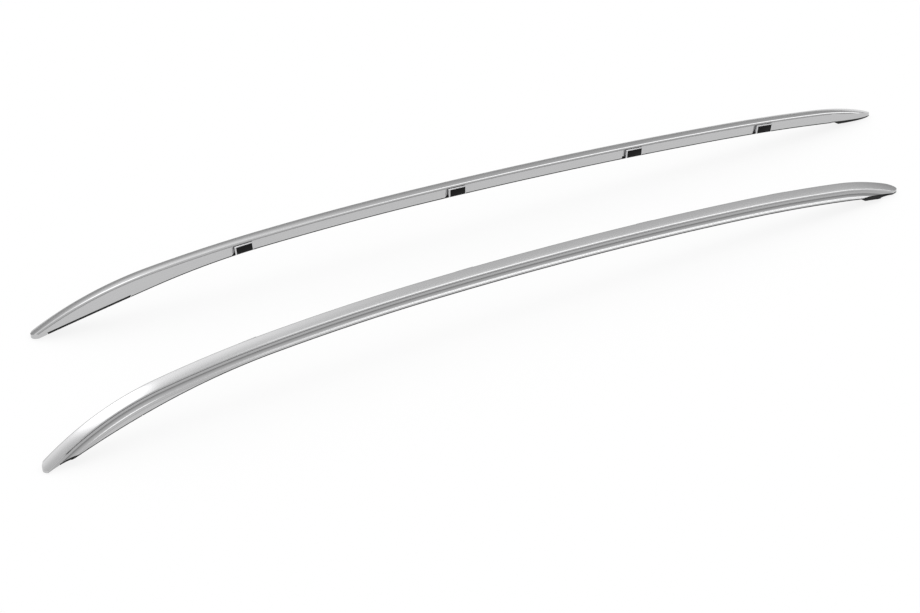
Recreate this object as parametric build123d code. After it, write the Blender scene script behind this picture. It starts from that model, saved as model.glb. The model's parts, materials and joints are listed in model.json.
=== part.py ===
from build123d import *
import math
import os

# Pair of flush roof side rails. All sizes are in millimetres and degrees.
# +X runs to the rear of the vehicle, +Y to its right, +Z up. The rails stand on their front tips and rear pads.

# Roof line under a rail: arcs of a given radius and length, from the front tip to the rear tip
front_end_radius = 2590.0
front_end_length = 252.0
front_bend_radius = 1250.0
front_bend_length = 220.0
shoulder_radius = 4750.0
shoulder_length = 324.0
middle_radius = 8830.0
middle_length = 698.0
rear_radius = 3480.0
rear_length = 230.0
rear_nose_length = 142.0

# Crest of the rail: parallel to the roof line over the middle, bent down to the tips at both noses
crest_height = 23.3
crest_bend_radius = 2340.0
crest_bend_length = 220.0
front_tip_height = 6.5
rear_tip_height = 6.2
front_tip_length = 34.0
rear_tip_length = 105.0
tip_side_room = 2.3
inward_lean = 11.5

# Section of the extrusion, seen upright: inner wall, crowned top, grip groove and lip on the outer side
base_width = 36.2
inner_wall_height = 24.6
inner_wall_draft = 0.7
inner_corner_radius = 4.0
top_crown = 1.2
top_shoulder_out = 9.8
top_shoulder_height = 20.0
top_shoulder_radius = 1.4
groove_edge_drop = 2.2
groove_edge_set_in = 0.5
groove_depth = 2.5
lip_height = 5.2
lip_width = 3.4
lip_drop = 1.8
skirt_depth = 18.0
wall = 2.4
front_nose_solid = 200.0
rear_nose_solid = 125.0

# Rubber under the rail
seal_thickness = 2.0
front_pad_thickness = 4.6
front_pad_set_back = 30.0
front_pad_reach_out = 4.0
front_pad_length = 195.0
rear_pad_drop = 5.0
rear_pad_length = 96.0
rear_pad_slope = 9.0
rubber_clearance = 0.1
rubber_end_gap = 1.0

# Fixing brackets: places along the roof line from the front tip, and their own sizes
bracket_1_place = 439.0
bracket_2_place = 887.0
bracket_3_place = 1281.0
bracket_4_place = 1587.0
bracket_width = 36.5
bracket_reach = 3.0
hood_height = 20.0
hood_depth = 10.0
body_height = 13.0
body_end = 5.5
bracket_clearance = 0.15
window_gap_front = 1.0
window_gap_rear = 0.5
window_gap_top = 1.0
window_flare = 7.0
window_past_wall = 1.0
boss_radius = 6.0
boss_out = -3.0
boss_end_height = 0.4
boss_clearance = 0.4
thread_core_radius = 3.4
thread_length = 10.0
cap_border_front = 3.0
cap_border_rear = 1.0
cap_border_top = 1.1
cap_thickness = 3.2
cap_set_back = 0.3
cap_foot_height = 2.4

# Where the two rails stand
rail_spacing = 332.6
rail_stagger = 108.0
rail_toe = 1.9

# Room past the rail for the cutting shapes
cut_room = 60.0
tip_overrun = 20.0
base_half = base_width / 2


def turned(vector, angle):
    """A flat vector turned about Z, angle in radians."""
    return vector.rotate(Axis.Z, math.degrees(angle))


def bend(parts):
    """Arcs in a row, each a radius and a length, set level with both ends on the ground line."""
    point = Vector(0, 0)
    heading = 0.0
    arcs = []
    for radius, length in parts:
        centre = point + turned(Vector(0, -radius), heading)
        heading -= length / radius
        end = centre + turned(Vector(0, radius), heading)
        arcs.append((point, end, centre))
        point = end
    tilt = math.atan2(point.Y, point.X)
    middle = turned(point, -tilt) / 2
    return [tuple(turned(corner, -tilt) - middle for corner in arc) for arc in arcs]


def raised(arc, rise):
    """The same arc, moved away from its centre."""
    start, end, centre = arc
    scale = 1 + rise / (start - centre).length
    return centre + (start - centre) * scale, centre + (end - centre) * scale, centre


def nose(point, centre, target):
    """Arc that carries on from an arc's end, passes through the tip and runs a little past it."""
    normal = (point - centre).normalized()
    run = target - point
    radius = -run.dot(run) / (2 * normal.dot(run))
    new_centre = point - normal * radius
    past = math.copysign(tip_overrun / radius, -run.X)
    return new_centre + turned(target - new_centre, past), new_centre


def arc_edge(arc):
    """An arc as an edge."""
    start, end, centre = arc
    half = (start + end) / 2 - centre
    return ThreePointArc(start, centre + half * ((start - centre).length / half.length), end)


def top_at(out):
    """Height of the sloping top face, before its edges are rounded."""
    share = (top_shoulder_out - out) / (top_shoulder_out + base_half - inner_wall_draft)
    return top_shoulder_height + (inner_wall_height - top_shoulder_height) * share


# Roof line and crest line of one rail, drawn in the plane of its arch
roof_line = bend([
    (front_end_radius, front_end_length),
    (front_bend_radius, front_bend_length),
    (shoulder_radius, shoulder_length),
    (middle_radius, middle_length),
    (rear_radius, rear_length),
    (rear_radius, rear_nose_length),
])
front_tip = roof_line[0][0]
rear_tip = roof_line[-1][1]

crest_middle = [raised(arc, crest_height) for arc in roof_line[2:5]]
crest_start, _, shoulder_centre = crest_middle[0]
bend_centre = crest_start - (crest_start - shoulder_centre).normalized() * crest_bend_radius
bend_end = bend_centre + turned(crest_start - bend_centre, crest_bend_length / crest_bend_radius)
front_nose_end, front_nose_centre = nose(bend_end, bend_centre, front_tip + Vector(0, front_tip_height))
_, crest_end, rear_centre = crest_middle[-1]
rear_nose_end, rear_nose_centre = nose(crest_end, rear_centre, rear_tip + Vector(0, rear_tip_height))
crest_line = [
    (front_nose_end, bend_end, front_nose_centre),
    (bend_end, crest_start, bend_centre),
    *crest_middle,
    (crest_end, rear_nose_end, rear_nose_centre),
]

# The arch leans inwards, so that the rail follows the side of the roof
lean = math.radians(inward_lean)
arch_plane = Plane((0, 0, 0), x_dir=(1, 0, 0), z_dir=(0, -math.cos(lean), -math.sin(lean)))
roof_wire = arch_plane * Wire([arc_edge(arc) for arc in roof_line])
crest_wire = arch_plane * Wire([arc_edge(arc) for arc in crest_line])


def section(outline):
    """A face across the crest line at its front end, from an outline drawn upright about the foot of the crest."""
    across = Plane(crest_wire @ 0, x_dir=(0, math.cos(lean), math.sin(lean)), z_dir=crest_wire % 0)
    return across * Pos(0, -crest_height) * Rot(0, 0, -inward_lean) * outline


def outer_outline():
    """Outline of the extrusion with its groove, run on below the base to be trimmed by the roof line."""
    foot = -skirt_depth
    inner_top = (-base_half + inner_wall_draft, inner_wall_height)
    shoulder = (top_shoulder_out, top_shoulder_height)
    groove_top = Vector(top_shoulder_out - groove_edge_set_in, top_shoulder_height - groove_edge_drop)
    groove_end = Vector(base_half - lip_width, lip_height)
    chord = groove_end - groove_top
    groove_middle = (groove_top + groove_end) / 2 + turned(chord.normalized(), -math.pi / 2) * groove_depth
    lip_middle = (base_half - lip_width * 0.3, lip_height - lip_drop * 0.3)
    lip_end = (base_half, lip_height - lip_drop)
    lower = Polyline(groove_end, lip_middle, lip_end, (base_half, foot), (-base_half, foot), inner_top)
    top_middle = (Vector(inner_top) + Vector(shoulder)) / 2
    top_across = (Vector(shoulder) - Vector(inner_top)).normalized()
    top = ThreePointArc(inner_top, top_middle + turned(top_across, math.pi / 2) * top_crown, shoulder)
    groove = ThreePointArc(groove_top, groove_middle, groove_end)
    face = make_face([lower, top, Line(shoulder, groove_top), groove])
    inner_corner = face.vertices().sort_by_distance(inner_top)[0]
    face = fillet(inner_corner, inner_corner_radius)
    shoulder_corner = face.vertices().sort_by_distance(shoulder)[0]
    return fillet(shoulder_corner, top_shoulder_radius)


def hollow_outline():
    """Outline of the chamber in the extrusion."""
    floor = seal_thickness + rubber_clearance + wall
    inner = -base_half + inner_wall_draft + wall
    groove_in = top_shoulder_out - groove_edge_set_in - wall
    low_in = base_half - lip_width - 2 * wall
    corners = [
        (inner, floor),
        (inner, top_at(inner) - wall),
        (groove_in, top_at(groove_in) - wall),
        (groove_in, (top_shoulder_height + lip_height) / 2),
        (low_in, floor + wall / 2),
        (low_in, floor),
    ]
    return make_face(Polyline(*corners, close=True))


def layer(low, high):
    """Slab along the roof line between two heights above it, flat across."""
    lower = [raised(arc, low) for arc in roof_line]
    upper = [raised(arc, high) for arc in roof_line]
    ends = [Line(lower[0][0], upper[0][0]), Line(lower[-1][1], upper[-1][1])]
    return across_rail([arc_edge(arc) for arc in lower + upper] + ends)


def below_roof(rise):
    """Everything under the roof line raised by a height, carried on straight past both tips."""
    arcs = [raised(arc, rise) for arc in roof_line]
    front, rear = arcs[0][0], arcs[-1][1]
    front_past = front + turned((front - arcs[0][2]).normalized(), math.pi / 2) * cut_room
    rear_past = rear + turned((rear - arcs[-1][2]).normalized(), -math.pi / 2) * cut_room
    deep = -2 * cut_room
    rest = Polyline(rear, rear_past, (rear_past.X, deep), (front_past.X, deep), front_past, front)
    return across_rail([arc_edge(arc) for arc in arcs] + [rest])


def across_rail(edges):
    """Solid from edges drawn in the arch plane, run level across the rail."""
    return extrude(arch_plane * make_face(edges), amount=cut_room, dir=(0, 1, 0), both=True)


def span(start, end):
    """Block that keeps what lies between two places along X."""
    size = Vector(end - start, 4 * cut_room, 8 * cut_room)
    return Pos((start + end) / 2, 0, 0) * Box(*size)


def inner_side(clearance):
    """Everything on the inner side of the line where the front pad gets thin, behind the lip."""
    edge = front_pad_reach_out + clearance
    sheet = arch_plane * Rectangle(2 * (rear_tip.X - front_tip.X), 4 * cut_room)
    return Pos(0, edge, 0) * extrude(sheet, amount=2 * cut_room, dir=(0, -1, 0))


def tip_cutter(tip, toward, length):
    """Everything past a tip, outside its half-oval end in plan."""
    oval_at = tip.X - toward * length
    block = span(*sorted((oval_at, tip.X + toward * cut_room)))
    oval = extrude(Ellipse(length, base_half + tip_side_room), amount=4 * cut_room, both=True)
    return block - Pos(oval_at, 0, 0) * oval


def station(place):
    """Upright frame on the roof line: x along the rail, y to the outside, z up."""
    origin = roof_wire.position_at(place, PositionMode.LENGTH)
    along = roof_wire.tangent_at(place, PositionMode.LENGTH)
    return Plane(origin, x_dir=along, z_dir=along.cross(Vector(0, 1, 0))).location


def block_along(outline, width, shift=0.0):
    """Prism of an outline drawn across a station, centred along the rail or shifted to its rear."""
    prism = extrude(Plane.YZ * make_face(Polyline(*outline, close=True)), amount=width / 2, both=True)
    return Pos(shift, 0, 0) * prism


def upright(radius, low, high, out):
    """Cylinder across a station, between two heights."""
    return Pos(0, out, low) * Cylinder(radius, high - low, align=(Align.CENTER, Align.CENTER, Align.MIN))


bracket_places = (bracket_1_place, bracket_2_place, bracket_3_place, bracket_4_place)

# Heights that the bracket, the rail floor and the seal share
rail_foot = seal_thickness + rubber_clearance
rail_floor = rail_foot + wall
window_edge = -base_half + inner_wall_draft + wall + window_past_wall
cap_room = bracket_width - cap_border_front - cap_border_rear
cap_shift = (cap_border_front - cap_border_rear) / 2


def bracket():
    """Fixing bracket: hood through the window, body on the rail's floor, threaded boss through it."""
    front = -base_half - bracket_reach
    step = window_edge - bracket_clearance * 2
    seat = rail_floor + bracket_clearance
    outline = [
        (front, rail_foot),
        (front, hood_height),
        (front + hood_depth, hood_height),
        (front + hood_depth, body_height),
        (body_end, body_height),
        (body_end, seat),
        (step, seat),
        (step, rail_foot),
    ]
    solid = block_along(outline, bracket_width)
    solid += upright(boss_radius, boss_end_height, seat + wall, boss_out)
    recess_top = hood_height - cap_border_top
    recess_back = front + cap_set_back + cap_thickness + bracket_clearance
    recess = [
        (front - cut_room, rail_foot - cut_room),
        (front - cut_room, recess_top),
        (recess_back, recess_top),
        (recess_back, rail_foot - cut_room),
    ]
    solid -= block_along(recess, cap_room, cap_shift)
    solid -= upright(thread_core_radius, boss_end_height, boss_end_height + thread_length, boss_out)
    return solid


def bracket_cap():
    """Black cap that fills the inner end of a bracket."""
    front = -base_half - bracket_reach + cap_set_back
    cap_top = hood_height - cap_border_top - bracket_clearance
    outline = [
        (front, cap_foot_height),
        (front, cap_top),
        (front + cap_thickness, cap_top),
        (front + cap_thickness, cap_foot_height),
    ]
    return block_along(outline, cap_room - 2 * bracket_clearance, cap_shift)


def window():
    """Opening in the rail's inner wall around a bracket's hood, run down through the edge of the floor."""
    outline = [
        (-base_half - cut_room, -cut_room),
        (-base_half - cut_room, hood_height + window_gap_top),
        (window_edge, hood_height + window_gap_top),
        (window_edge, -cut_room),
    ]
    return window_prism(outline)


def window_prism(outline):
    """Prism of an outline over the length of a window, which is wider in front of the bracket than behind it."""
    width = bracket_width + window_gap_front + window_gap_rear
    return block_along(outline, width, (window_gap_rear - window_gap_front) / 2)


def flare():
    """Slanted front side of a window, wider at the face of the inner wall than behind it."""
    inside = -bracket_width / 2 - window_gap_front
    behind = -base_half + inner_wall_draft + wall
    ahead = behind - 2 * (wall + inner_wall_draft)
    plan = make_face(Polyline((inside - 2 * window_flare, ahead), (0, ahead), (0, behind), (inside, behind), close=True))
    return Pos(0, 0, -cut_room) * extrude(plan, amount=cut_room + hood_height + window_gap_top / 2)


def seat_pocket():
    """Room for a bracket's body in the hollow, with a flat seat on the floor."""
    hood_back = -base_half - bracket_reach + hood_depth
    outline = [
        (window_edge - wall, rail_floor),
        (window_edge - wall, hood_height + bracket_clearance),
        (hood_back + bracket_clearance, hood_height + bracket_clearance),
        (hood_back + bracket_clearance, body_height + bracket_clearance),
        (body_end + bracket_clearance, body_height + bracket_clearance),
        (body_end + bracket_clearance, rail_floor),
    ]
    return window_prism(outline)


def boss_hole():
    """Clearance for a bracket's boss through the rail's floor and the seal."""
    return upright(boss_radius + boss_clearance, -cut_room, rail_floor + wall / 2, boss_out)


def rail_pieces():
    """All pieces of the right rail, by name."""
    stations = [station(place) for place in bracket_places]
    blank = sweep(section(outer_outline()), path=crest_wire)
    blank -= tip_cutter(front_tip, -1, front_tip_length)
    blank -= tip_cutter(rear_tip, 1, rear_tip_length)

    front_pad_end = front_tip.X + front_pad_length
    rear_pad_start = rear_tip.X - rear_pad_length
    chamber = sweep(section(hollow_outline()), path=crest_wire)
    chamber &= span(front_tip.X + front_nose_solid, rear_tip.X - rear_nose_solid)

    pad_start = front_tip.X + front_pad_set_back
    rubber_room = span(pad_start - rubber_end_gap, rear_tip.X + cut_room)
    pad_room = span(pad_start - rubber_end_gap, front_pad_end + rubber_end_gap)
    rail = blank - below_roof(0) - chamber
    rail -= below_roof(rail_foot) & rubber_room
    rail -= below_roof(front_pad_thickness + rubber_clearance) & pad_room & inner_side(rubber_clearance)
    seal = blank & layer(0, seal_thickness)
    seal &= span(front_pad_end + rubber_end_gap, rear_pad_start - rubber_end_gap)
    opening = window() + flare() + seat_pocket() + boss_hole()
    for place in stations:
        rail -= place * opening
        seal -= place * boss_hole()

    front_pad = blank & layer(0, front_pad_thickness) & inner_side(0)
    front_pad += blank & layer(0, seal_thickness)
    front_pad &= span(pad_start, front_pad_end)
    rear_pad = blank & layer(-skirt_depth, seal_thickness)
    rear_pad &= span(rear_pad_start, rear_tip.X + cut_room)
    rear_pad -= wedge_cutter(rear_pad_start)

    pieces = {"rail": rail, "base_seal": seal, "front_pad": front_pad, "rear_pad": rear_pad}
    for number, place in enumerate(stations, start=1):
        pieces[f"bracket_{number}"] = place * bracket()
        pieces[f"bracket_cap_{number}"] = place * bracket_cap()
    return pieces


def wedge_cutter(start):
    """What lies below the sole of the rear pad: a short slope to its deep end, then straight to the rear tip."""
    run = rear_tip.X - start
    line = Wire([arc_edge(arc) for arc in roof_line])
    height = line.position_at(line.length - run, PositionMode.LENGTH).Y
    edge = Vector(start, height)
    sole = rear_tip - edge + Vector(0, rear_pad_drop)
    deep = edge - Vector(0, rear_pad_drop) + sole * (rear_pad_slope / run)
    past = rear_tip + sole.normalized() * cut_room
    corners = [edge, deep, past, (past.X, -2 * cut_room), (edge.X, -2 * cut_room)]
    return across_rail(Polyline(*corners, close=True))


# Both rails stand a little apart, toed in to the rear; the left one is the mirror image of the right one
right_pieces = rail_pieces()
right_place = Location((rail_stagger / 2, rail_spacing / 2, 0), (0, 0, -rail_toe))
left_place = Location((-rail_stagger / 2, -rail_spacing / 2, 0), (0, 0, rail_toe))
pair = {}
for name, piece in right_pieces.items():
    pair["right_" + name] = right_place * piece
    pair["left_" + name] = left_place * mirror(piece, about=Plane.XZ)

box = Compound(children=[Compound(piece.solids()) for piece in pair.values()]).bounding_box()
stand = Pos(-box.center().X, -box.center().Y, -box.min.Z)
os.makedirs("parts", exist_ok=True)
for name, piece in pair.items():
    solids = (stand * piece).solids()
    export_step(solids[0] if len(solids) == 1 else Compound(solids), f"parts/{name}.step")
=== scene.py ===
import cmath
import json
import math

import bpy
from mathutils import Matrix, Vector

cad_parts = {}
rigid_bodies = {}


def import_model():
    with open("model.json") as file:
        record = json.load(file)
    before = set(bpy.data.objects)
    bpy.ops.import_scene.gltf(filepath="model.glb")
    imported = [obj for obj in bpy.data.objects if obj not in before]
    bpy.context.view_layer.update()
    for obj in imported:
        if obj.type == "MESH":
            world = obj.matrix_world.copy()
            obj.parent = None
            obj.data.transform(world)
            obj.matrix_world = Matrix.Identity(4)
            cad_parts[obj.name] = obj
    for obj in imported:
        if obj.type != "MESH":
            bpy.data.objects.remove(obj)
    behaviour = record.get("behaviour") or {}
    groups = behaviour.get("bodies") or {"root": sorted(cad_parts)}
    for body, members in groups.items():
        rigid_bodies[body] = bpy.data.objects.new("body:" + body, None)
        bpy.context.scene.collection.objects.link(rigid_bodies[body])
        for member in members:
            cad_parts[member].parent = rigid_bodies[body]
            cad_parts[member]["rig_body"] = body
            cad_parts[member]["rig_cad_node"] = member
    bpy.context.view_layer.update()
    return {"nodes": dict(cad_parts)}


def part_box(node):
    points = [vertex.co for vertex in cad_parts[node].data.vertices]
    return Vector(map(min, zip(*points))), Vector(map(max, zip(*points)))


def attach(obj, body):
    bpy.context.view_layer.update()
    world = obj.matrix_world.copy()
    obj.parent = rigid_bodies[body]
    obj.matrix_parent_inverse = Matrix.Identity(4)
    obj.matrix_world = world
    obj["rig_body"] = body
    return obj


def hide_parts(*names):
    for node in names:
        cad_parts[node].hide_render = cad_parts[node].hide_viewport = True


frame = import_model()

bl_info = {
    "name": "Roof side rail pair",
    "version": (1, 0, 0),
    "blender": (4, 5, 0),
    "location": "View3D > Sidebar > Roof Rails",
    "description": "Dresses the pair of roof side rails and sets the stage around it",
    "category": "Add Mesh",
}

MM = 0.001
SIDES = ("left", "right")
BRACKET_NUMBERS = (1, 2, 3, 4)

# Points of the rail's outline, with the first and last ones of the top that its roundings leave
TOP_STEPS = 24
TOP_FIRST = 5
TOP_LAST = -3
INNER_CORNER_STEPS = 8
SHOULDER_STEPS = 6
GROOVE_STEPS = 14
LIP_STEPS = 6
LIP_BULGE = 0.2

# Reach of the cutters
ROOM = 60 * MM
FAR = Vector((1.5, 0.3, 0.5))
PAST_REAR = 1.2
OVAL_VERTICES = 256

# Distances and angles within which a mesh is joined or smoothed
WELD = 0.01 * MM
NODE_WELD = 0.001 * MM
SAME_POINT = 0.02 * MM
FLAT_ANGLE = math.radians(0.2)
EDGE_ANGLE = math.radians(35)
NODE_SMOOTH_ANGLE = math.radians(40)
RAIL_SMOOTH_ANGLE = math.radians(28)

# Sockets of a mix node that mixes colours
FIRST_COLOUR = 6
SECOND_COLOUR = 7
MIXED_COLOUR = 2

# Soft edges of the light in the sky
HIGH_SKY = (0.25, 0.5)
FRONT_BOX_RIM = (1.6, 0.5)
BACK_BOX_FADE = 0.25
STRIP_RIM = (1.6, 0.3)
STRIP_FADE = 0.3

# Floor and camera
FLOOR_SIZE = 30
FLOOR_DROP = 0.2 * MM
SENSOR_WIDTH = 36
CLIP_END = 100


def size(label, words, millimetres):
    """A length that a user may change."""
    return bpy.props.FloatProperty(
        name=label, description=words, default=millimetres * MM, unit="LENGTH", precision=5
    )


def turn(label, words, degrees):
    """An angle that a user may change."""
    return bpy.props.FloatProperty(
        name=label, description=words, default=math.radians(degrees), subtype="ANGLE"
    )


def colour(label, words, value):
    """A colour that a user may change."""
    return bpy.props.FloatVectorProperty(
        name=label, description=words, default=value, subtype="COLOR", min=0, max=1
    )


def share(label, words, value):
    """A plain number between nothing and one."""
    return bpy.props.FloatProperty(
        name=label, description=words, default=value, min=0, max=1, subtype="FACTOR"
    )


def level(label, words, value):
    """A strength of light."""
    return bpy.props.FloatProperty(name=label, description=words, default=value, min=0)


def place(label, words, value):
    """A place in the sky: how far a direction lies from overhead, along or across the rails."""
    return bpy.props.FloatProperty(name=label, description=words, default=value, min=-1, max=1)


class RailLines(bpy.types.PropertyGroup):
    """Roof line under a rail, crest line over it, and where the rails stand."""

    front_end_radius: size("Front end radius", "Radius of the roof line under the front nose", 2590)
    front_end_length: size("Front end length", "Length of the roof line under the front nose", 252)
    front_bend_radius: size("Front bend radius", "Radius of the roof line behind the front nose", 1250)
    front_bend_length: size("Front bend length", "Length of the roof line behind the front nose", 220)
    shoulder_radius: size("Shoulder radius", "Radius of the roof line over the front door", 4750)
    shoulder_length: size("Shoulder length", "Length of the roof line over the front door", 324)
    middle_radius: size("Middle radius", "Radius of the roof line over the middle", 8830)
    middle_length: size("Middle length", "Length of the roof line over the middle", 698)
    rear_radius: size("Rear radius", "Radius of the roof line at the rear", 3480)
    rear_length: size("Rear length", "Length of the rear roof line before the nose", 230)
    rear_nose_length: size("Rear nose length", "Length of the roof line under the rear nose", 142)
    crest_height: size("Crest height", "Height of the crest line over the roof line", 23.3)
    crest_bend_radius: size("Crest bend radius", "Radius of the crest over the front bend", 2340)
    crest_bend_length: size("Crest bend length", "Length of the crest over the front bend", 220)
    front_tip_height: size("Front tip height", "Height of the crest at the front tip", 6.5)
    rear_tip_height: size("Rear tip height", "Height of the crest at the rear tip", 6.2)
    front_tip_length: size("Front tip length", "Length of the half-oval end of the front nose", 34)
    rear_tip_length: size("Rear tip length", "Length of the half-oval end of the rear nose", 105)
    tip_overrun: size("Tip overrun", "Length that the blank runs past a tip before it is trimmed", 20)
    lean: turn("Lean", "Lean of the arch towards the other rail", 11.5)
    spacing: size("Spacing", "Distance between the rails", 332.6)
    stagger: size("Stagger", "Length by which the right rail stands further back", 108)
    toe: turn("Toe", "Turn of each rail towards the other one at the rear", 1.9)
    ring_step: size("Ring step", "Length between two rings of the mesh", 7)


class RailSection(bpy.types.PropertyGroup):
    """Section of the rail, seen upright."""

    base_width: size("Base width", "Width of the section at its base", 36.2)
    inner_wall_height: size("Inner wall height", "Height of the inner wall", 24.6)
    inner_wall_draft: size("Inner wall draft", "Slope of the inner wall over its height", 0.7)
    inner_corner_radius: size("Inner corner radius", "Rounding between inner wall and top", 5)
    top_crown: size("Top crown", "Height of the top's curve over the line between its edges", 1.2)
    shoulder_out: size("Shoulder place", "Place of the outer shoulder, outwards from the middle", 9.8)
    shoulder_height: size("Shoulder height", "Height of the outer shoulder", 20)
    shoulder_radius: size("Shoulder rounding", "Rounding of the outer shoulder", 1.4)
    groove_edge_drop: size("Groove edge drop", "Height of the edge over the grip groove", 2.2)
    groove_edge_set_in: size("Groove edge set-in", "Set-in of the edge over the grip groove", 0.5)
    groove_depth: size("Groove depth", "Hollow of the grip groove", 2.5)
    lip_height: size("Lip height", "Height of the lip under the groove", 5.2)
    lip_width: size("Lip width", "Width of the lip under the groove", 3.4)
    lip_drop: size("Lip drop", "Height of the rounding of the lip", 1.8)
    skirt_depth: size("Skirt depth", "Depth of the blank below its base before it is trimmed", 18)
    wall: size("Wall", "Wall thickness of the extrusion", 2.4)
    tip_side_room: size("Tip side room", "Room beside the base at the widest place of a tip's oval", 2.3)
    front_nose_solid: size("Solid front nose", "Length of the front nose that has no hollow", 200)
    rear_nose_solid: size("Solid rear nose", "Length of the rear nose that has no hollow", 125)
    foot: size("Foot height", "Height of the rail's underside over the roof line", 2.1)
    rubber_start: size("Rubber start", "Distance of the first rubber from the front tip", 29)
    front_pad_room: size("Front pad room", "Height of the recess for the front pad", 4.7)
    front_pad_reach: size("Front pad reach", "Distance of the recess's end from the front tip", 196)
    front_pad_out: size("Front pad width", "Place where the front pad gets thin, outwards from the arch", 4.1)


class WindowSizes(bpy.types.PropertyGroup):
    """Windows for the brackets in the inner wall of a rail."""

    place_1: size("First window", "Distance of the first window from the front tip", 439)
    place_2: size("Second window", "Distance of the second window from the front tip", 887)
    place_3: size("Third window", "Distance of the third window from the front tip", 1281)
    place_4: size("Fourth window", "Distance of the fourth window from the front tip", 1587)
    front_edge: size("Front edge", "Distance of a window's front side from its middle", 19.25)
    rear_edge: size("Rear edge", "Distance of a window's rear side from its middle", 18.75)
    height: size("Window height", "Height of a window over the roof line", 21)
    flare: size("Window flare", "Slant of a window's front side over the thickness of the wall", 7)
    flare_height: size("Flare height", "Height of the slanted front side over the roof line", 20.5)
    past_wall: size("Past the wall", "Depth of a window behind the inner wall", 1)


class Finishes(bpy.types.PropertyGroup):
    """Colours and finishes of the materials."""

    aluminium: colour("Aluminium", "Satin aluminium of the rails", (0.58, 0.58, 0.585))
    aluminium_roughness: share("Satin", "Roughness of the satin aluminium", 0.18)
    streak_share: share("Streak share", "Share of the fine streaks in the metal's tone", 0.4)
    line_share: share("Line share", "Share of the coarser lines in the metal's tone", 0.35)
    grit_share: share("Grit share", "Share of the fine grit in the metal's tone", 0.15)
    cloud_share: share("Cloud share", "Share of the wide clouds in the metal's tone", 0.1)
    streak_roughness: share("Streak roughness", "Change of the metal's roughness over the streaks", 0.1)
    cloud_roughness: share("Cloud roughness", "Change of the metal's roughness over the clouds", 0.06)
    dark_tone: share("Dark tone", "Brightness of the darkest grain of the metals", 0.8)
    # Painted shade: how bright the aluminium's colour is made in the grip groove, darker than the rest
    groove_painted_shade: share("Groove tone", "Brightness of the aluminium in the grip groove", 0.7)
    casting: colour("Casting", "Cast metal of the brackets", (0.7, 0.7, 0.71))
    rubber: colour("Rubber", "Rubber of the seals and pads", (0.012, 0.012, 0.0125))
    plastic: colour("Plastic", "Plastic of the bracket caps", (0.004, 0.004, 0.0042))
    edge_rounding: size("Edge rounding", "Rounding of the small edges", 0.35)


class StageSettings(bpy.types.PropertyGroup):
    """Camera, floor and light."""

    camera_place: bpy.props.FloatVectorProperty(
        name="Camera place", description="Where the camera stands", default=(-1.8494, -3.8744, 3.0583),
        subtype="XYZ", unit="LENGTH",
    )
    camera_yaw: turn("Camera yaw", "Turn of the view to the right of +Y", 24.8516)
    camera_pitch: turn("Camera pitch", "Tilt of the view below the horizon", 36.244)
    camera_roll: turn("Camera roll", "Roll of the view", -1.4007)
    lens: bpy.props.FloatProperty(name="Lens", description="Focal length", default=104.72, unit="CAMERA")
    floor: colour("Floor", "Colour of the floor", (0.93, 0.93, 0.93))
    floor_white: share("Floor white", "Share of white in the floor, seen directly or in metal", 0.85)
    horizon: level("Horizon", "Light from the horizon", 0.33)
    zenith: level("Zenith", "Light from overhead", 0.85)
    front_box: level("Front box", "Light added by the softbox over the front noses", 1.2)
    front_box_along: place("Front box along", "Middle of the front softbox, to the rear", -0.2)
    front_box_across: place("Front box across", "Middle of the front softbox, to the back", 0.4)
    front_box_width: place("Front box width", "Half width of the front softbox along the rails", 0.2)
    front_box_depth: place("Front box depth", "Half width of the front softbox across the rails", 0.38)
    back_box: level("Back box", "Light added by the wide softbox behind the rails", 0.6)
    back_box_start: place("Back box start", "Near edge of the wide softbox, to the back", 0.2)
    back_box_full: place("Back box full", "Place where the wide softbox is full", 0.65)
    back_box_end: place("Back box end", "Rear end of the wide softbox, to the rear", 0.4)
    strip: level("Strip", "Light added by the long softbox over the rails", 1.7)
    strip_across: place("Strip across", "Middle of the long softbox, to the back", 0.05)
    strip_width: place("Strip width", "Half width of the long softbox", 0.2)
    strip_start: place("Strip start", "Front end of the long softbox, to the rear", 0.1)


def deselect():
    """Nothing is selected and no mesh is in edit mode."""
    if bpy.context.object and bpy.context.object.mode != "OBJECT":
        bpy.ops.object.mode_set(mode="OBJECT")
    bpy.ops.object.select_all(action="DESELECT")


def activate(piece):
    """Only this piece is selected."""
    deselect()
    piece.select_set(True)
    bpy.context.view_layer.objects.active = piece


# Lines of a rail in the plane of its arch: complex numbers, along and up


def bent(parts):
    """Arcs in a row, each a radius and a length, set level with both ends on the ground."""
    point = 0j
    heading = 0.0
    arcs = []
    for radius, run in parts:
        centre = point - 1j * radius * cmath.rect(1, heading)
        heading -= run / radius
        end = centre + 1j * radius * cmath.rect(1, heading)
        arcs.append((point, end, centre))
        point = end
    level_out = cmath.rect(1, -cmath.phase(point))
    middle = point * level_out / 2
    return [tuple(corner * level_out - middle for corner in arc) for arc in arcs]


def raised(arc, rise):
    """The same arc, moved away from its centre."""
    start, end, centre = arc
    scale = 1 + rise / abs(start - centre)
    return centre + (start - centre) * scale, centre + (end - centre) * scale, centre


def dot(a, b):
    """Dot product of two flat vectors."""
    return (a * b.conjugate()).real


def nose(point, centre, target, overrun):
    """Arc that carries on from an arc's end, passes through the tip and runs a little past it."""
    normal = (point - centre) / abs(point - centre)
    run = target - point
    radius = -dot(run, run) / (2 * dot(normal, run))
    new_centre = point - normal * radius
    past = math.copysign(overrun / radius, -run.real)
    return new_centre + (target - new_centre) * cmath.rect(1, past), new_centre


def roof_arcs(lines):
    """Roof line under a rail, from the front tip to the rear tip."""
    return bent([
        (lines.front_end_radius, lines.front_end_length),
        (lines.front_bend_radius, lines.front_bend_length),
        (lines.shoulder_radius, lines.shoulder_length),
        (lines.middle_radius, lines.middle_length),
        (lines.rear_radius, lines.rear_length),
        (lines.rear_radius, lines.rear_nose_length),
    ])


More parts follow.
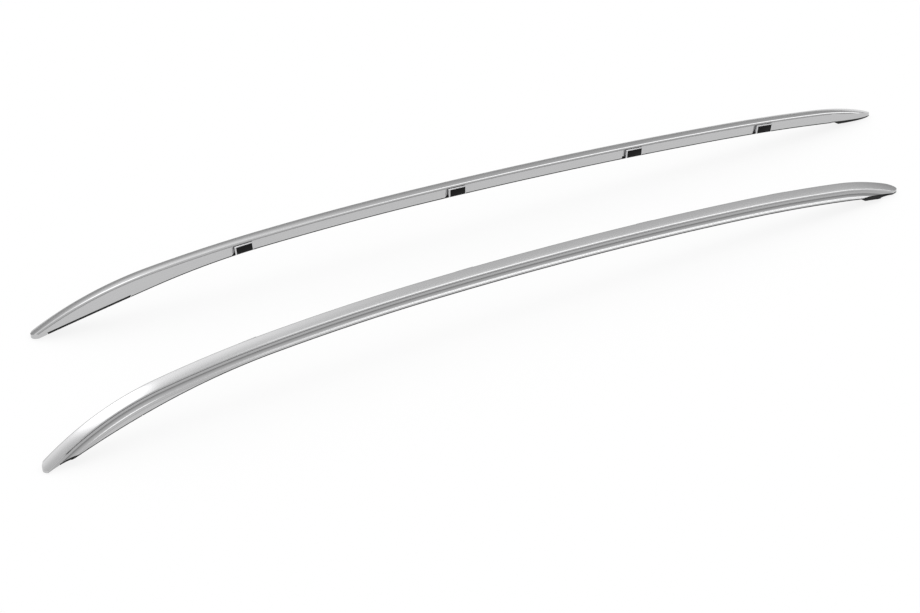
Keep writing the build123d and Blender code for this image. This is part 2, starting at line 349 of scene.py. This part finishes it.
def crest_arcs(lines):
    """Crest line of a rail, from past the front tip to past the rear tip."""
    roof = roof_arcs(lines)
    middle = [raised(arc, lines.crest_height) for arc in roof[2:5]]
    start, _, shoulder_centre = middle[0]
    bend_centre = start - (start - shoulder_centre) / abs(start - shoulder_centre) * lines.crest_bend_radius
    bend_turn = cmath.rect(1, lines.crest_bend_length / lines.crest_bend_radius)
    bend_end = bend_centre + (start - bend_centre) * bend_turn
    front_target = roof[0][0] + 1j * lines.front_tip_height
    front_end, front_centre = nose(bend_end, bend_centre, front_target, lines.tip_overrun)
    _, end, rear_centre = middle[-1]
    rear_target = roof[-1][1] + 1j * lines.rear_tip_height
    rear_end, rear_nose_centre = nose(end, rear_centre, rear_target, lines.tip_overrun)
    return [
        (front_end, bend_end, front_centre),
        (bend_end, start, bend_centre),
        *middle,
        (end, rear_end, rear_nose_centre),
    ]


def arch_point(point, lean):
    """A point of the arch's plane in the rail's own frame."""
    return Vector((point.real, -math.sin(lean) * point.imag, math.cos(lean) * point.imag))


def roof_place(lines, distance):
    """Point of the roof line at a distance from the front tip, and the direction along it."""
    for start, end, centre in roof_arcs(lines):
        angle = cmath.phase((end - centre) / (start - centre))
        run = abs(angle) * abs(start - centre)
        if distance <= run:
            point = centre + (start - centre) * cmath.rect(1, angle * distance / run)
            normal = (point - centre) / abs(point - centre)
            return point, -1j * normal
        distance -= run
    raise ValueError("the place lies past the rear tip")


# Outlines across a rail: points outwards and up


def rounded(before, corner, after, radius, steps):
    """Points of a corner that is rounded between two straight lines."""
    a = (before - corner) / abs(before - corner)
    b = (after - corner) / abs(after - corner)
    half = abs(cmath.phase(b / a)) / 2
    middle = (a + b) / abs(a + b)
    centre = corner + middle * radius / math.sin(half)
    first = corner + a * radius / math.tan(half) - centre
    last = corner + b * radius / math.tan(half) - centre
    angle = cmath.phase(last / first)
    return [centre + first * cmath.rect(1, angle * i / steps) for i in range(steps + 1)]


def hollowed(start, end, depth, steps):
    """Points of an arc from start to end whose middle lies to the right of the line by a depth."""
    chord = end - start
    radius = (abs(chord) ** 2 / 4 + depth**2) / (2 * depth)
    side = -1j * chord / abs(chord)
    centre = (start + end) / 2 + side * (depth - radius)
    angle = cmath.phase((end - centre) / (start - centre))
    return [centre + (start - centre) * cmath.rect(1, angle * i / steps) for i in range(steps + 1)]


def rail_outline(section):
    """Outline of the extrusion, run on below its base."""
    half = section.base_width / 2
    foot = -section.skirt_depth
    inner_foot = complex(-half, foot)
    inner_top = complex(-half + section.inner_wall_draft, section.inner_wall_height)
    shoulder = complex(section.shoulder_out, section.shoulder_height)
    groove_top = shoulder - complex(section.groove_edge_set_in, section.groove_edge_drop)
    groove_end = complex(half - section.lip_width, section.lip_height)
    lip_end = complex(half, section.lip_height - section.lip_drop)
    top = hollowed(inner_top, shoulder, -section.top_crown, TOP_STEPS)
    return [
        complex(half, foot),
        inner_foot,
        *rounded(inner_foot, inner_top, top[TOP_FIRST - 1], section.inner_corner_radius, INNER_CORNER_STEPS),
        *top[TOP_FIRST:TOP_LAST + 1],
        *rounded(top[TOP_LAST], shoulder, groove_top, section.shoulder_radius, SHOULDER_STEPS),
        *hollowed(groove_top, groove_end, section.groove_depth, GROOVE_STEPS),
        *hollowed(groove_end, lip_end, -section.lip_drop * LIP_BULGE, LIP_STEPS)[1:],
    ]


def groove_span(outline):
    """Distances around the outline to the upper and the lower edge of the grip groove."""
    lengths = [abs(there - here) for here, there in zip(outline, outline[1:])]
    lower = len(outline) - 1 - LIP_STEPS
    return sum(lengths[:lower - GROOVE_STEPS]), sum(lengths[:lower])


def hollow_outline(section):
    """Outline of the chamber in the extrusion."""
    half = section.base_width / 2
    wall = section.wall
    floor = section.foot + wall
    inner = -half + section.inner_wall_draft + wall
    groove_in = section.shoulder_out - section.groove_edge_set_in - wall
    low_in = half - section.lip_width - 2 * wall
    top_width = section.shoulder_out + half - section.inner_wall_draft
    rise = (section.inner_wall_height - section.shoulder_height) / top_width

    def roof(out):
        return section.shoulder_height + rise * (section.shoulder_out - out) - wall

    return [
        complex(inner, floor),
        complex(inner, roof(inner)),
        complex(groove_in, roof(groove_in)),
        complex(groove_in, (section.shoulder_height + section.lip_height) / 2),
        complex(low_in, floor + wall / 2),
        complex(low_in, floor),
    ]


# Modelling steps


def weld(distance):
    """Joins the vertices that lie in one place, in edit mode."""
    bpy.ops.mesh.select_all(action="SELECT")
    bpy.ops.mesh.remove_doubles(threshold=distance)


def close_edit():
    """Turns all faces outwards and leaves edit mode."""
    bpy.ops.mesh.select_all(action="SELECT")
    bpy.ops.mesh.normals_make_consistent(inside=False)
    bpy.ops.object.mode_set(mode="OBJECT")


def draw(name, points):
    """A chain of edges through points. Its last vertex stays selected in edit mode."""
    deselect()
    bpy.ops.mesh.primitive_plane_add(size=MM, location=points[0])
    piece = bpy.context.object
    piece.name = name
    bpy.ops.object.transform_apply(location=True)
    bpy.ops.object.mode_set(mode="EDIT")
    bpy.ops.mesh.select_all(action="SELECT")
    bpy.ops.mesh.merge(type="CENTER")
    for here, there in zip(points, points[1:]):
        bpy.ops.mesh.extrude_vertices_move(TRANSFORM_OT_translate={"value": there - here})
    return piece


def sweep_section(name, outline, lines):
    """Closed tube of an outline along the crest line, which keeps the distance around the outline."""
    arcs = crest_arcs(lines)
    start, _, centre = arcs[0]
    up_flat = (start - centre) / abs(start - centre)
    across = Vector((0, math.cos(lines.lean), math.sin(lines.lean)))
    up = arch_point(up_flat, lines.lean)
    origin = arch_point(start, lines.lean)
    upright = cmath.rect(1, -lines.lean)
    points = []
    for point in outline + outline[:1]:
        flat = point * upright - 1j * lines.crest_height
        points.append(origin + across * flat.real + up * flat.imag)
    piece = draw(name, points)
    weld(WELD)
    bpy.ops.object.mode_set(mode="OBJECT")
    keep_distance_around(piece, points)
    bpy.ops.object.mode_set(mode="EDIT")
    bpy.ops.mesh.select_all(action="SELECT")
    for arc in arcs:
        spin_along(arc, lines)
    weld(WELD)
    bpy.ops.mesh.fill_holes(sides=0)
    close_edit()
    return piece


def spin_along(arc, lines):
    """Carries what is selected along an arc of the arch's plane."""
    start, end, centre = arc
    angle = cmath.phase((end - centre) / (start - centre))
    steps = max(2, round(abs(end - start) / lines.ring_step))
    axis = (0, -math.cos(lines.lean), -math.sin(lines.lean))
    bpy.ops.mesh.spin(steps=steps, angle=-angle, center=arch_point(centre, lines.lean), axis=axis)


def keep_distance_around(piece, points):
    """Writes each vertex's distance along the outline, which the sweep hands on to its rings."""
    mesh = piece.data
    around = mesh.attributes.new("around", "FLOAT", "POINT")
    for vertex in mesh.vertices:
        distance = 0.0
        for here, there in zip(points, points[1:]):
            if (vertex.co - here).length < SAME_POINT:
                break
            distance += (there - here).length
        around.data[vertex.index].value = distance


def lay_grain(piece):
    """UV map of a swept tube: along the rail, and around its outline."""
    mesh = piece.data
    around = mesh.attributes["around"]
    grain = mesh.uv_layers.new(name="grain")
    for loop in mesh.loops:
        vertex = loop.vertex_index
        grain.uv[loop.index].vector = (mesh.vertices[vertex].co.x, around.data[vertex].value)
    mesh.attributes.remove(around)


def cut(piece, cutter):
    """Takes a cutter out of a piece, and removes the cutter."""
    activate(piece)
    modifier = piece.modifiers.new("cut", "BOOLEAN")
    modifier.operation = "DIFFERENCE"
    modifier.solver = "EXACT"
    modifier.object = cutter
    bpy.ops.object.modifier_apply(modifier=modifier.name)
    activate(cutter)
    bpy.ops.object.delete()


def below_roof(lines, rise):
    """Everything under the roof line raised by a height, carried on straight past both tips."""
    arcs = [raised(arc, rise) for arc in roof_arcs(lines)]
    front, _, front_centre = arcs[0]
    _, rear, rear_centre = arcs[-1]
    front_past = front + 1j * (front - front_centre) / abs(front - front_centre) * ROOM
    rear_past = rear - 1j * (rear - rear_centre) / abs(rear - rear_centre) * ROOM
    piece = draw("below_roof", [arch_point(front_past, lines.lean), arch_point(front, lines.lean)])
    for arc in arcs:
        spin_along(arc, lines)
    step = arch_point(rear_past, lines.lean) - arch_point(rear, lines.lean)
    bpy.ops.mesh.extrude_vertices_move(TRANSFORM_OT_translate={"value": step})
    bpy.ops.mesh.select_all(action="SELECT")
    bpy.ops.transform.translate(value=(0, -ROOM, 0))
    bpy.ops.mesh.extrude_region_move(TRANSFORM_OT_translate={"value": (0, 2 * ROOM, 0)})
    bpy.ops.mesh.select_all(action="SELECT")
    bpy.ops.mesh.extrude_region_move(TRANSFORM_OT_translate={"value": (0, 0, -3 * ROOM)})
    close_edit()
    return piece


def block(name, low, high):
    """A box between two corners."""
    deselect()
    bpy.ops.mesh.primitive_cube_add(size=1, location=(low + high) / 2, scale=high - low)
    piece = bpy.context.object
    piece.name = name
    bpy.ops.object.transform_apply(location=True, rotation=True, scale=True)
    return piece


def keep_between(piece, start, end):
    """Cuts off what lies in front of one place along the rail and behind another."""
    cut(piece, block("ahead", -FAR, Vector((start, FAR.y, FAR.z))))
    cut(piece, block("behind", Vector((end, -FAR.y, -FAR.z)), FAR))


def outer_side(lines, out):
    """Everything on the outer side of a line that runs along the arch."""
    piece = block("outer_side", Vector((-FAR.x, 0, -FAR.z)), FAR)
    activate(piece)
    piece.rotation_euler = (lines.lean, 0, 0)
    piece.location = (0, out, 0)
    bpy.ops.object.transform_apply(location=True, rotation=True, scale=True)
    return piece


def past_tip(section, tip, toward, length):
    """Everything past a tip, outside its half-oval end in plan."""
    half = section.base_width / 2 + section.tip_side_room
    oval_at = tip.real - toward * length
    low, high = sorted((oval_at, tip.real + toward * ROOM))
    piece = block("past_tip", Vector((low, -ROOM, -ROOM)), Vector((high, ROOM, ROOM)))
    deselect()
    bpy.ops.mesh.primitive_cylinder_add(
        vertices=OVAL_VERTICES, radius=1, depth=4 * ROOM, scale=(length, half, 1)
    )
    oval = bpy.context.object
    oval.location = (oval_at, 0, 0)
    bpy.ops.object.transform_apply(location=True, rotation=True, scale=True)
    cut(piece, oval)
    return piece


def window_block(section, windows):
    """Block that opens a window in the inner wall."""
    half = section.base_width / 2
    edge = -half + section.inner_wall_draft + section.wall + windows.past_wall
    low = Vector((-windows.front_edge, -half - ROOM, -ROOM))
    high = Vector((windows.rear_edge, edge, windows.height))
    return block("window", low, high)


def flare_block(section, windows):
    """Block that slants the front side of a window, wider at the face of the wall than behind it."""
    depth = section.wall + section.inner_wall_draft
    behind = -section.base_width / 2 + depth
    ahead = behind - 2 * depth
    inside = -windows.front_edge
    outside = inside - 2 * windows.flare
    plan = [(outside, ahead), (0, ahead), (0, behind), (inside, behind), (outside, ahead)]
    piece = draw("flare", [Vector((x, y, -ROOM)) for x, y in plan])
    weld(WELD)
    bpy.ops.mesh.edge_face_add()
    bpy.ops.mesh.extrude_region_move(TRANSFORM_OT_translate={"value": (0, 0, ROOM + windows.flare_height)})
    close_edit()
    return piece


def put_on_roof(piece, lines, distance):
    """Puts a block on the roof line: x along the rail, y to the outside, z up."""
    point, along = roof_place(lines, distance)
    forward = arch_point(along, lines.lean)
    sideways = Vector((0, 1, 0))
    up = forward.cross(sideways).normalized()
    turned = Matrix((forward, up.cross(forward), up)).transposed().to_4x4()
    piece.matrix_world = Matrix.Translation(arch_point(point, lines.lean)) @ turned
    activate(piece)
    bpy.ops.object.transform_apply(location=True, rotation=True, scale=True)
    return piece


def stand_rail(piece, lines, side):
    """Puts a rail that was modelled in its own frame where its solid stands."""
    sign = 1 if side == "right" else -1
    activate(piece)
    piece.scale = (1, sign, 1)
    bpy.ops.object.transform_apply(location=True, rotation=True, scale=True)
    bpy.ops.object.mode_set(mode="EDIT")
    close_edit()
    piece.rotation_euler = (0, 0, -sign * lines.toe)
    piece.location = (sign * lines.stagger / 2, sign * lines.spacing / 2, 0)
    bpy.ops.object.transform_apply(location=True, rotation=True, scale=True)
    low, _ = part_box(side + "_rail")
    found = min(vertex.co.x for vertex in piece.data.vertices)
    piece.location = (low.x - found, 0, 0)
    bpy.ops.object.transform_apply(location=True)


def copied_node(node, name, rounding):
    """A copy of a CAD node with its triangles joined and its edges rounded."""
    activate(frame["nodes"][node])
    bpy.ops.object.duplicate()
    piece = bpy.context.object
    piece.name = name
    piece.data.name = name
    piece.parent = None
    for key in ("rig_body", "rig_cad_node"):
        if key in piece:
            del piece[key]
    piece.data.materials.clear()
    bpy.ops.object.mode_set(mode="EDIT")
    weld(NODE_WELD)
    bpy.ops.mesh.dissolve_limited(angle_limit=FLAT_ANGLE)
    bpy.ops.object.mode_set(mode="OBJECT")
    bevel = piece.modifiers.new("edges", "BEVEL")
    bevel.width = rounding
    bevel.segments = 2
    bevel.limit_method = "ANGLE"
    bevel.angle_limit = EDGE_ANGLE
    bevel.harden_normals = False
    bpy.ops.object.modifier_apply(modifier=bevel.name)
    bpy.ops.object.shade_smooth_by_angle(angle=NODE_SMOOTH_ANGLE)
    return piece


def hand_over(piece, node, material):
    """Gives a finished piece its material, and lets it stand for its CAD node."""
    piece.data.materials.clear()
    piece.data.materials.append(material)
    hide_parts(node)
    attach(piece, "root")


def dress(finishes, parts, ending, material):
    """Rounds the same parts of both rails and hands them over. Each part is a name and a material slot name,
    and the slot name is not used.
    """
    for side in SIDES:
        for part, slot in parts:
            node = f"{side}_{part}"
            piece = copied_node(node, f"{node}_{ending}", finishes.edge_rounding)
            hand_over(piece, node, material)


# Materials


class Flow:
    """An output in a shader tree. Numbers are worked with as in any expression."""

    def __init__(self, tree, socket=None):
        self.tree = tree
        self.socket = socket

    def node(self, kind, settings=None, inputs=None, output=0):
        """Adds a node: its type, its settings, and the values or links of its sockets."""
        node = self.tree.nodes.new(kind)
        for key, value in (settings or {}).items():
            setattr(node, key, value)
        for key, value in (inputs or {}).items():
            if isinstance(value, Flow):
                self.tree.links.new(value.socket, node.inputs[key])
            else:
                node.inputs[key].default_value = value
        return Flow(self.tree, node.outputs[output])

    def math(self, operation, first, second):
        """Adds a node that works with two numbers."""
        return self.node("ShaderNodeMath", {"operation": operation}, {0: first, 1: second})

    def __add__(self, other):
        return self.math("ADD", self, other)

    def __sub__(self, other):
        return self.math("SUBTRACT", self, other)

    def __rsub__(self, other):
        return self.math("SUBTRACT", other, self)

    def __mul__(self, other):
        return self.math("MULTIPLY", self, other)


def blank_material(name):
    """A new material with an empty tree."""
    material = bpy.data.materials.new(name)
    material.use_nodes = True
    material.node_tree.nodes.clear()
    return material, Flow(material.node_tree)


def toned(value, tone):
    """A colour made darker or brighter."""
    return (*(part * tone for part in value), 1)


def mixed(start, factor, first, second):
    """Mix of two colours."""
    inputs = {"Factor": factor, FIRST_COLOUR: first, SECOND_COLOUR: second}
    return start.node("ShaderNodeMix", {"data_type": "RGBA"}, inputs, output=MIXED_COLOUR)


def noise(start, vector, scale, detail, rough=0.5):
    """Plain noise."""
    inputs = {"Vector": vector, "Scale": scale, "Detail": detail, "Roughness": rough}
    return start.node("ShaderNodeTexNoise", None, inputs)


def stretched(start, vector, scales):
    """A vector stretched along its axes."""
    return start.node("ShaderNodeVectorMath", {"operation": "MULTIPLY"}, {0: vector, 1: scales})


def fade(start, value, low, high):
    """Nothing at the low value, all at the high one, and smooth between them."""
    ends = {"Value": value, "From Min": low, "From Max": high}
    return start.node("ShaderNodeMapRange", {"interpolation_type": "SMOOTHSTEP"}, ends)


def relief(start, height, strength, depth):
    """Normal of a surface with a fine relief."""
    return start.node("ShaderNodeBump", None, {"Height": height, "Strength": strength, "Distance": depth})


def end_tree(start, kind, shader):
    """Ends a tree at its output node."""
    node = start.tree.nodes.new(kind)
    start.tree.links.new(shader.socket, node.inputs["Surface"])


def satin_aluminium(finishes, groove_top, groove_end):
    """Anodised aluminium with a fine brushed grain along the rail, and painted shade that darkens its colour
    in the grip groove.
    """
    material, start = blank_material("satin_aluminium")
    grain = start.node("ShaderNodeUVMap", {"uv_map": "grain"})
    solid = start.node("ShaderNodeTexCoord", output="Object")
    streaks = noise(start, stretched(start, grain, (28, 2600, 1)), scale=1, detail=3, rough=0.6)
    lines = noise(start, stretched(start, grain, (6, 700, 1)), scale=1, detail=2)
    grit = noise(start, solid, scale=900, detail=2)
    cloud = noise(start, solid, scale=9, detail=3)
    tone = streaks * finishes.streak_share + lines * finishes.line_share
    tone = tone + grit * finishes.grit_share + cloud * finishes.cloud_share
    brushed = mixed(start, tone, toned(finishes.aluminium, finishes.dark_tone), toned(finishes.aluminium, 1))
    around = start.node("ShaderNodeSeparateXYZ", None, {0: grain}, output="Y")
    middle = (groove_top + groove_end) / 2
    # Painted shade: the upper half of the grip groove gets a darker base colour, which fades out towards the
    # groove's lower edge
    groove_painted_shade_mask = fade(start, around, groove_top - MM, groove_top + MM) * fade(start, around, groove_end, middle)
    rough = streaks * finishes.streak_roughness + cloud * finishes.cloud_roughness
    smoothest = finishes.aluminium_roughness - (finishes.streak_roughness + finishes.cloud_roughness) / 2
    shader = start.node("ShaderNodeBsdfPrincipled", None, {
        "Base Color": mixed(start, groove_painted_shade_mask, brushed, toned(finishes.aluminium, finishes.groove_painted_shade)),
        "Metallic": 1.0,
        "Roughness": rough + smoothest,
        "Normal": relief(start, streaks, strength=0.12, depth=0.04 * MM),
    })
    end_tree(start, "ShaderNodeOutputMaterial", shader)
    return material


def grained(name, colours, clouds, grain, roughness, bumps, others):
    """A plain surface: clouds in its colour, and one grain in its roughness and its relief."""
    material, start = blank_material(name)
    solid = start.node("ShaderNodeTexCoord", output="Object")
    height = noise(start, solid, **grain)
    shader = start.node("ShaderNodeBsdfPrincipled", None, {
        "Base Color": mixed(start, noise(start, solid, **clouds), *colours),
        "Roughness": height * roughness["spread"] + roughness["least"],
        "Normal": relief(start, height, **bumps),
        **others,
    })
    end_tree(start, "ShaderNodeOutputMaterial", shader)
    return material


def cast_metal(finishes):
    """Plain cast metal of the brackets."""
    return grained(
        "cast_metal",
        colours=(toned(finishes.casting, finishes.dark_tone), toned(finishes.casting, 1)),
        clouds={"scale": 60, "detail": 3},
        grain={"scale": 700, "detail": 3},
        roughness={"least": 0.32, "spread": 0.15},
        bumps={"strength": 0.25, "depth": 0.08 * MM},
        others={"Metallic": 1.0},
    )


def matt_rubber(finishes):
    """Black rubber with a matt, slightly worn surface."""
    return grained(
        "matt_rubber",
        colours=(toned(finishes.rubber, 1), toned(finishes.rubber, 1.9)),
        clouds={"scale": 45, "detail": 4},
        grain={"scale": 1400, "detail": 2},
        roughness={"least": 0.62, "spread": 0.12},
        bumps={"strength": 0.3, "depth": 0.08 * MM},
        others={"Specular IOR Level": 0.2},
    )


def moulded_plastic(finishes):
    """Black plastic with a fine spark-eroded grain."""
    return grained(
        "moulded_plastic",
        colours=(toned(finishes.plastic, 1), toned(finishes.plastic, 1.6)),
        clouds={"scale": 80, "detail": 3},
        grain={"scale": 2200, "detail": 2},
        roughness={"least": 0.42, "spread": 0.15},
        bumps={"strength": 0.35, "depth": 0.06 * MM},
        others={"Specular IOR Level": 0.15},
    )


def pale_floor(stage):
    """Floor that is near white where it is seen directly or in metal, and keeps the shadows."""
    material, start = blank_material("pale_floor")
    plain = start.node("ShaderNodeBsdfDiffuse", None, {"Color": (*stage.floor, 1)})
    seen = 0.0
    for ray in ("Is Camera Ray", "Is Glossy Ray", "Is Transmission Ray"):
        seen = start.node("ShaderNodeLightPath", output=ray) + seen
    seen = start.node("ShaderNodeClamp", None, {0: seen})
    white = start.node("ShaderNodeEmission", None, {"Color": (1, 1, 1, 1), "Strength": 1.0})
    shader = start.node("ShaderNodeMixShader", None, {0: seen * stage.floor_white, 1: plain, 2: white})
    end_tree(start, "ShaderNodeOutputMaterial", shader)
    return material


# Operators


class ROOFRAIL_OT_rails(bpy.types.Operator):
    """Models both rails: swept, trimmed to the roof line, hollowed, and opened for the brackets"""

    bl_idname = "roofrail.rails"
    bl_label = "Rails"

    def execute(self, context):
        scene = context.scene
        lines, section, windows = scene.rail_lines, scene.rail_section, scene.rail_windows
        outline = rail_outline(section)
        material = satin_aluminium(scene.rail_finishes, *groove_span(outline))
        roof = roof_arcs(lines)
        front_tip, rear_tip = roof[0][0], roof[-1][1]
        rail = sweep_section("right_rail_skin", outline, lines)
        lay_grain(rail)
        chamber = sweep_section("chamber", hollow_outline(section), lines)
        chamber_start = front_tip.real + section.front_nose_solid
        keep_between(chamber, chamber_start, rear_tip.real - section.rear_nose_solid)
        cut(rail, chamber)
        cut(rail, past_tip(section, front_tip, -1, lines.front_tip_length))
        cut(rail, past_tip(section, rear_tip, 1, lines.rear_tip_length))
        cut(rail, below_roof(lines, 0))
        rubber_start = front_tip.real + section.rubber_start
        seal_recess = below_roof(lines, section.foot)
        keep_between(seal_recess, rubber_start, PAST_REAR)
        cut(rail, seal_recess)
        pad_recess = below_roof(lines, section.front_pad_room)
        keep_between(pad_recess, rubber_start, front_tip.real + section.front_pad_reach)
        cut(pad_recess, outer_side(lines, section.front_pad_out))
        cut(rail, pad_recess)
        for number in BRACKET_NUMBERS:
            distance = getattr(windows, f"place_{number}")
            for opening in (window_block, flare_block):
                cut(rail, put_on_roof(opening(section, windows), lines, distance))
        activate(rail)
        bpy.ops.object.duplicate()
        pair = {"right": rail, "left": bpy.context.object}
        pair["left"].name = "left_rail_skin"
        for side, piece in pair.items():
            stand_rail(piece, lines, side)
            bpy.ops.object.shade_smooth_by_angle(angle=RAIL_SMOOTH_ANGLE)
            hand_over(piece, side + "_rail", material)
        return {"FINISHED"}


class ROOFRAIL_OT_rubber(bpy.types.Operator):
    """Rounds the seals and pads under the rails and makes them rubber"""

    bl_idname = "roofrail.rubber"
    bl_label = "Seals and pads"

    def execute(self, context):
        finishes = context.scene.rail_finishes
        parts = [("base_seal", "seal_rubber"), ("front_pad", "pad_rubber"), ("rear_pad", "pad_rubber")]
        dress(finishes, parts, "rubber", matt_rubber(finishes))
        return {"FINISHED"}


class ROOFRAIL_OT_brackets(bpy.types.Operator):
    """Rounds the fixing brackets and makes them cast metal"""

    bl_idname = "roofrail.brackets"
    bl_label = "Fixing brackets"

    def execute(self, context):
        finishes = context.scene.rail_finishes
        parts = [(f"bracket_{number}", "bracket_aluminium") for number in BRACKET_NUMBERS]
        dress(finishes, parts, "casting", cast_metal(finishes))
        return {"FINISHED"}


class ROOFRAIL_OT_caps(bpy.types.Operator):
    """Rounds the caps of the brackets and makes them black plastic"""

    bl_idname = "roofrail.caps"
    bl_label = "Bracket caps"

    def execute(self, context):
        finishes = context.scene.rail_finishes
        parts = [(f"bracket_cap_{number}", "cap_plastic") for number in BRACKET_NUMBERS]
        dress(finishes, parts, "moulding", moulded_plastic(finishes))
        return {"FINISHED"}


class ROOFRAIL_OT_stage(bpy.types.Operator):
    """Sets the floor, the light and the camera"""

    bl_idname = "roofrail.stage"
    bl_label = "Stage"

    def execute(self, context):
        scene = context.scene
        stage = scene.rail_stage
        scene.view_settings.view_transform = "Standard"
        deselect()
        bpy.ops.mesh.primitive_plane_add(size=FLOOR_SIZE, location=(0, 0, -FLOOR_DROP))
        floor = context.object
        floor.name = "floor"
        floor.data.materials.append(pale_floor(stage))
        self.sky(scene, stage)
        self.camera(scene, stage)
        return {"FINISHED"}

    def sky(self, scene, stage):
        """A dome that is dark at the horizon, with three softboxes in it."""
        world = bpy.data.worlds.new("studio")
        scene.world = world
        world.use_nodes = True
        world.node_tree.nodes.clear()
        start = Flow(world.node_tree)
        direction = start.node("ShaderNodeTexCoord", output="Generated")
        along, across, height = (
            start.node("ShaderNodeSeparateXYZ", None, {0: direction}, output=axis) for axis in "XYZ"
        )
        rise = start.math("MAXIMUM", height, 0.0)
        dome = (2 - rise) * rise
        high = fade(start, height, *HIGH_SKY)
        sideways = (along - stage.front_box_along) * (1 / stage.front_box_width)
        away = (across - stage.front_box_across) * (1 / stage.front_box_depth)
        front_box = fade(start, sideways * sideways + away * away, *FRONT_BOX_RIM)
        back_box = fade(start, across, stage.back_box_start, stage.back_box_full) * high
        back_box = back_box * fade(start, along, stage.back_box_end, stage.back_box_end - BACK_BOX_FADE)
        beside = (across - stage.strip_across) * (1 / stage.strip_width)
        strip = fade(start, beside * beside, *STRIP_RIM) * high
        strip = strip * fade(start, along, stage.strip_start, stage.strip_start + STRIP_FADE)
        light = dome * (stage.zenith - stage.horizon) + stage.horizon + front_box * stage.front_box
        light = light + back_box * stage.back_box + strip * stage.strip
        background = start.node("ShaderNodeBackground", None, {"Color": (1, 1, 1, 1), "Strength": light})
        end_tree(start, "ShaderNodeOutputWorld", background)

    def camera(self, scene, stage):
        """The photograph's view."""
        lens = bpy.data.cameras.new("camera")
        lens.lens = stage.lens
        lens.sensor_width = SENSOR_WIDTH
        lens.sensor_fit = "HORIZONTAL"
        lens.clip_end = CLIP_END
        view = bpy.data.objects.new("camera", lens)
        scene.collection.objects.link(view)
        yaw, pitch, roll = stage.camera_yaw, stage.camera_pitch, stage.camera_roll
        ahead = Vector((math.sin(yaw) * math.cos(pitch), math.cos(yaw) * math.cos(pitch), -math.sin(pitch)))
        level_right = Vector((math.cos(yaw), -math.sin(yaw), 0))
        level_up = level_right.cross(ahead)
        right = level_right * math.cos(roll) + level_up * math.sin(roll)
        up = level_up * math.cos(roll) - level_right * math.sin(roll)
        turned = Matrix((right, up, -ahead)).transposed().to_4x4()
        view.matrix_world = Matrix.Translation(stage.camera_place) @ turned
        scene.camera = view


class ROOFRAIL_PT_panel(bpy.types.Panel):
    """Lists the steps that dress the rails"""

    bl_idname = "ROOFRAIL_PT_panel"
    bl_label = "Roof Rails"
    bl_space_type = "VIEW_3D"
    bl_region_type = "UI"
    bl_category = "Roof Rails"

    def draw(self, context):
        for operator in OPERATORS:
            self.layout.operator(operator.bl_idname)


GROUPS = {
    "rail_lines": RailLines,
    "rail_section": RailSection,
    "rail_windows": WindowSizes,
    "rail_finishes": Finishes,
    "rail_stage": StageSettings,
}
OPERATORS = (
    ROOFRAIL_OT_rails,
    ROOFRAIL_OT_rubber,
    ROOFRAIL_OT_brackets,
    ROOFRAIL_OT_caps,
    ROOFRAIL_OT_stage,
)


def register():
    for kind in (*GROUPS.values(), *OPERATORS, ROOFRAIL_PT_panel):
        bpy.utils.register_class(kind)
    for name, group in GROUPS.items():
        setattr(bpy.types.Scene, name, bpy.props.PointerProperty(type=group))


def unregister():
    for name in GROUPS:
        delattr(bpy.types.Scene, name)
    for kind in (ROOFRAIL_PT_panel, *reversed(OPERATORS), *reversed(GROUPS.values())):
        bpy.utils.unregister_class(kind)


def main():
    register()
    bpy.ops.roofrail.rails()
    bpy.ops.roofrail.rubber()
    bpy.ops.roofrail.brackets()
    bpy.ops.roofrail.caps()
    bpy.ops.roofrail.stage()


if __name__ == "__main__":
    main()
